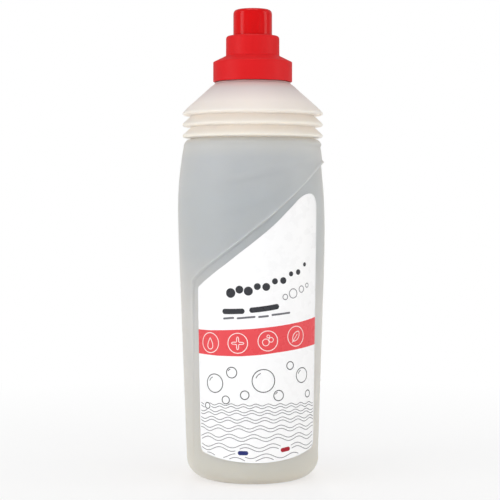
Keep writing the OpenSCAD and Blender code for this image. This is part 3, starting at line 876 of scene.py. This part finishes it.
def dots_and_bars():
    """Dots that rise along a curve, over two bars."""
    shapes = []
    for i, r in enumerate(DOT_RADII):
        s = DOT_FROM_S + DOT_STEP * i
        shapes.append(disc(s, DOT_LOW_Z + DOT_RISE * s + DOT_BOW * s * s + DOT_SWAY[i % 2], r))
    return shapes + [bar(*ends, THICK_TALL, bow) for ends, bow in zip(THICK_BARS, (0.1, 0.2))]


def fine_bars():
    """Thin bars under the two thick ones, and small bubbles beside the dots."""
    shapes = [bar(s0, z, s1, z + (s1 - s0) * FINE_SLOPE, FINE_TALL) for s0, s1, z in FINE_BARS]
    return shapes + [circle(s, z, r, 36, BADGE_STROKE) for s, z, r in SMALL_BUBBLES]


def badges():
    """Four ringed badges on the band: a drop, a sparkle, three bubbles, and a leaf with its vein."""
    shapes = [circle(s, z, BADGE_R, 64, BADGE_STROKE) for s, z in BADGES]
    s, z = BADGES[0]
    t = np.linspace(0, TAU, 40, endpoint=False)
    drop = np.stack([s + 2.4 * np.sin(t) * np.sin(t / 2) ** 1.2, z - 0.4 + 3.2 * np.cos(t)], 1)
    shapes.append(ribbon(drop, BADGE_STROKE, True))
    s, z = BADGES[1]
    t = np.linspace(0, TAU, 48, endpoint=False)
    star = 1.1 + 2.5 * np.abs(np.cos(2 * t)) ** 5
    shapes.append(ribbon(np.stack([s + star * np.cos(t), z + star * np.sin(t)], 1), GLINT_STROKE, True))
    s, z = BADGES[2]
    for ds, dz, r in ((-1.2, -0.8, 1.9), (1.8, 0.6, 1.3), (0.2, 2.5, 0.8)):
        shapes.append(circle(s + ds, z + dz, r, 32, VEIN_STROKE))
    s, z = BADGES[3]
    t = np.linspace(0, TAU, 40, endpoint=False)
    across, along = 1.9 * np.sin(t) * np.abs(np.sin(t)) ** 0.5, 3.3 * np.cos(t)
    leaf = np.stack([s + 0.8 * across + 0.6 * along, z - 0.6 * across + 0.8 * along], 1)
    shapes.append(ribbon(leaf, GLINT_STROKE, True))
    shapes.append(stroke(s - 2.6, z - 3.4, s + 0.9, z + 1.2, VEIN_STROKE))
    return shapes


def in_label(s, z):
    """Whether a point lies on the white field under the band, clear of its edges."""
    grow, middle = spread(z)
    column = float((s + grow * middle) / (1 + grow))
    low, high = label_edges(min(max(column, -LABEL_LEFT), LABEL_RIGHT))
    beside = -LABEL_LEFT + SIDE_CLEAR < column < LABEL_RIGHT - SIDE_CLEAR
    return beside and low + FOOT_CLEAR < z < min(high, band_z(s, BAND_FOOT)) - BAND_CLEAR


def is_clear(s, z):
    """Whether a point lies on the white field and outside every bubble and tag."""
    return (in_label(s, z)
            and all(math.hypot(s - b[0], z - b[1]) > b[2] + BUBBLE_CLEAR for b in BUBBLES)
            and all(abs(s - (t[0] + t[2]) / 2) > TAG_CLEAR_S or abs(z - (t[1] + t[3]) / 2) > TAG_CLEAR_Z
                    for t in TAGS))


def clear_runs(points):
    """The runs of more than three clear points."""
    runs = [[]]
    for p in points:
        if is_clear(*p):
            runs[-1].append(p)
        else:
            runs.append([])
    return [run for run in runs if len(run) > 3]


def waves():
    """Double rows of waves under the bubbles, longer and higher towards the foot."""
    shapes = []
    for k, z0 in enumerate(WAVE_ROWS):
        length, height = 7.0 + 1.7 * k, 0.55 + 0.12 * k
        for lift in (0.0, 1.5 + 0.1 * k):
            swell = [(s, z0 + lift + height * math.sin(TAU * s / length + 1.9 * k) - 0.0006 * s * s)
                     for s in np.arange(-35, 44, 0.6)]
            shapes += [ribbon(run, WAVE_STROKE) for run in clear_runs(swell)]
    return shapes


def bubbles():
    """Rings, the larger ones with a glint."""
    shapes = []
    for s, z, r in BUBBLES:
        shapes.append(circle(s, z, r, 48, BUBBLE_STROKE))
        if r > 2.5:
            a = np.radians(np.linspace(110, 160, 10))
            glint = np.stack([s + 0.7 * r * np.cos(a), z + 0.7 * r * np.sin(a)], 1)
            shapes.append(ribbon(glint, GLINT_STROKE))
    return shapes


def back_bars():
    """Plain bars in two columns, with ragged right ends."""
    shapes = []
    for i in range(BACK_ROWS):
        z = BACK_TOP_Z - BACK_STEP * i
        shapes.append(bar(-28.0, z, 3.0 - (7.0 if i % 4 == 3 else 0.8 * (i % 3)), z, BACK_TALL))
        shapes.append(bar(8.0, z, 36.0 - (9.0 if i % 4 == 1 else 0.9 * (i % 3)), z, BACK_TALL))
    return shapes


for node, side in (("front_label", -1), ("back_label", 1)):
    verts, faces, mats = film_mesh(side)
    film = mesh_object(node + "_film", verts, faces, [PAPER, CORAL], mats)
    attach(film, "bottle")
    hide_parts(node)

ink("print_dark", dots_and_bars(), DARK_INK)
ink("print_fine", fine_bars(), GREY_INK)
ink("print_badges", badges(), WHITE_INK)
ink("print_waves", waves(), GREY_INK)
ink("print_bubbles", bubbles(), DARK_INK)
ink("print_navy", [bar(*TAGS[0], TAG_TALL)], NAVY_INK)
ink("print_red", [bar(*TAGS[1], TAG_TALL)], RED_INK)
ink("back_print_fine", back_bars(), GREY_INK, side=1)
ink("back_print_dark", [bar(*ends, THICK_TALL) for ends in BACK_BARS], DARK_INK, side=1)
ink("back_print_badges", [circle(s, z, r, n, BADGE_STROKE) for s, z in BACK_BADGES
                          for r, n in ((BACK_BADGE_R, 56), (2.4, 32))], WHITE_INK, side=1)

# Floor, light and camera, in metres
FLOOR_HALF = 6.0
FADE_FROM, FADE_TO, FADE_NEAR = 0.05, 0.45, 0.62
WORLD_LIGHT, WORLD_SEEN = 0.44, 1.0
AIM_Z = 0.16
LENS, SENSOR, NEAR = 107.3, 36.0, 0.05
CAMERA_AT, CAMERA_DOWN = (-1.55 * MM, -0.864, 0.1645), 2.2


def emission_mix(mat, fade):
    """White to the camera, through glass and in mirrors; the lit floor shows near the object."""
    tree = mat.node_tree
    path = tree.nodes.new("ShaderNodeLightPath").outputs
    glow = tree.nodes.new("ShaderNodeEmission")
    mix = tree.nodes.new("ShaderNodeMixShader")
    seen = math_node(tree, "MAXIMUM", path["Is Camera Ray"], path["Is Glossy Ray"])
    seen = math_node(tree, "MAXIMUM", seen, path["Is Transmission Ray"])
    tree.links.new(math_node(tree, "MULTIPLY", seen, fade), mix.inputs["Fac"])
    tree.links.new(tree.nodes["Principled BSDF"].outputs["BSDF"], mix.inputs[1])
    tree.links.new(glow.outputs["Emission"], mix.inputs[2])
    tree.links.new(mix.outputs["Shader"], tree.nodes["Material Output"].inputs["Surface"])


def build_floor():
    """A wide floor that fades to white away from the bottle and keeps its shadow."""
    m = Mat("floor").set(Roughness=0.9, Specular_IOR_Level=0.1)
    m.colour(m.blend(m.noise(3, 3), (0.90, 0.90, 0.90), (0.92, 0.92, 0.92)))
    reach = m.tree.nodes.new("ShaderNodeVectorMath")
    reach.operation = "LENGTH"
    m.link(m.coord.outputs["Object"], reach.inputs[0])
    far = m.node("ShaderNodeMapRange", Value=reach.outputs["Value"], From_Min=FADE_FROM,
                 From_Max=FADE_TO, To_Min=FADE_NEAR, To_Max=1.0)
    emission_mix(m.mat, far.outputs["Result"])
    corners = np.array([(-1, -1, 0), (1, -1, 0), (1, 1, 0), (-1, 1, 0)]) * FLOOR_HALF / MM
    mesh_object("floor", corners, [(0, 1, 2, 3)], [m.mat], sharp_deg=0)


def build_world():
    """A white world, brighter where the camera sees it, directly or through glass."""
    world = bpy.data.worlds.new("studio")
    bpy.context.scene.world = world
    world.use_nodes = True
    tree = world.node_tree
    background = tree.nodes["Background"]
    path = tree.nodes.new("ShaderNodeLightPath").outputs
    level = tree.nodes.new("ShaderNodeMapRange")
    seen = math_node(tree, "MAXIMUM", path["Is Camera Ray"], path["Is Transmission Ray"])
    tree.links.new(seen, level.inputs["Value"])
    level.inputs["To Min"].default_value = WORLD_LIGHT
    level.inputs["To Max"].default_value = WORLD_SEEN
    tree.links.new(level.outputs["Result"], background.inputs["Strength"])
    background.inputs["Color"].default_value = (1, 1, 1, 1)


def softbox(name, azimuth, distance, height, width, tall, power, mirrored=True, colour=(1, 1, 1)):
    """A softbox at an azimuth from the front, positive to the right, aimed at the bottle."""
    a = math.radians(azimuth)
    light = bpy.data.lights.new(name, "AREA")
    light.shape = "RECTANGLE"
    light.size, light.size_y = width, tall
    light.energy = power
    light.color = colour
    obj = bpy.data.objects.new(name, light)
    obj.location = (distance * math.sin(a), -distance * math.cos(a), height)
    obj.visible_glossy = mirrored
    aim = Vector((0, 0, AIM_Z)) - obj.location
    obj.rotation_euler = aim.to_track_quat("-Z", "Y").to_euler()
    bpy.context.scene.collection.objects.link(obj)


def build_camera():
    """The camera that was fitted to the photo's outlines."""
    data = bpy.data.cameras.new("camera")
    data.lens, data.sensor_width, data.clip_start = LENS, SENSOR, NEAR
    camera = bpy.data.objects.new("camera", data)
    camera.location = CAMERA_AT
    camera.rotation_euler = (math.radians(90 - CAMERA_DOWN), 0, 0)
    bpy.context.scene.collection.objects.link(camera)
    bpy.context.scene.camera = camera


build_floor()
build_world()
# Azimuth, distance, height, width, tallness and power
softbox("front_left", -46, 1.4, 0.30, 0.6, 0.55, 2.8, mirrored=False)
softbox("front_right", 48, 1.4, 0.30, 0.6, 0.55, 2.4, mirrored=False)
softbox("low", 0, 1.05, 0.05, 0.8, 0.09, 2.0, mirrored=False)
softbox("key_left", -66, 1.0, 0.42, 0.34, 0.9, 2.4)
softbox("side_right", 82, 1.0, 0.36, 0.34, 0.9, 1.8, colour=(1.0, 0.97, 0.9))
softbox("top", 0, 0.15, 1.25, 0.8, 0.8, 3.2)
softbox("back", 180, 1.2, 0.25, 0.3, 0.7, 8.0, mirrored=False)
build_camera()
bpy.context.scene.view_settings.view_transform = "Standard"

bpy.context.view_layer.update()
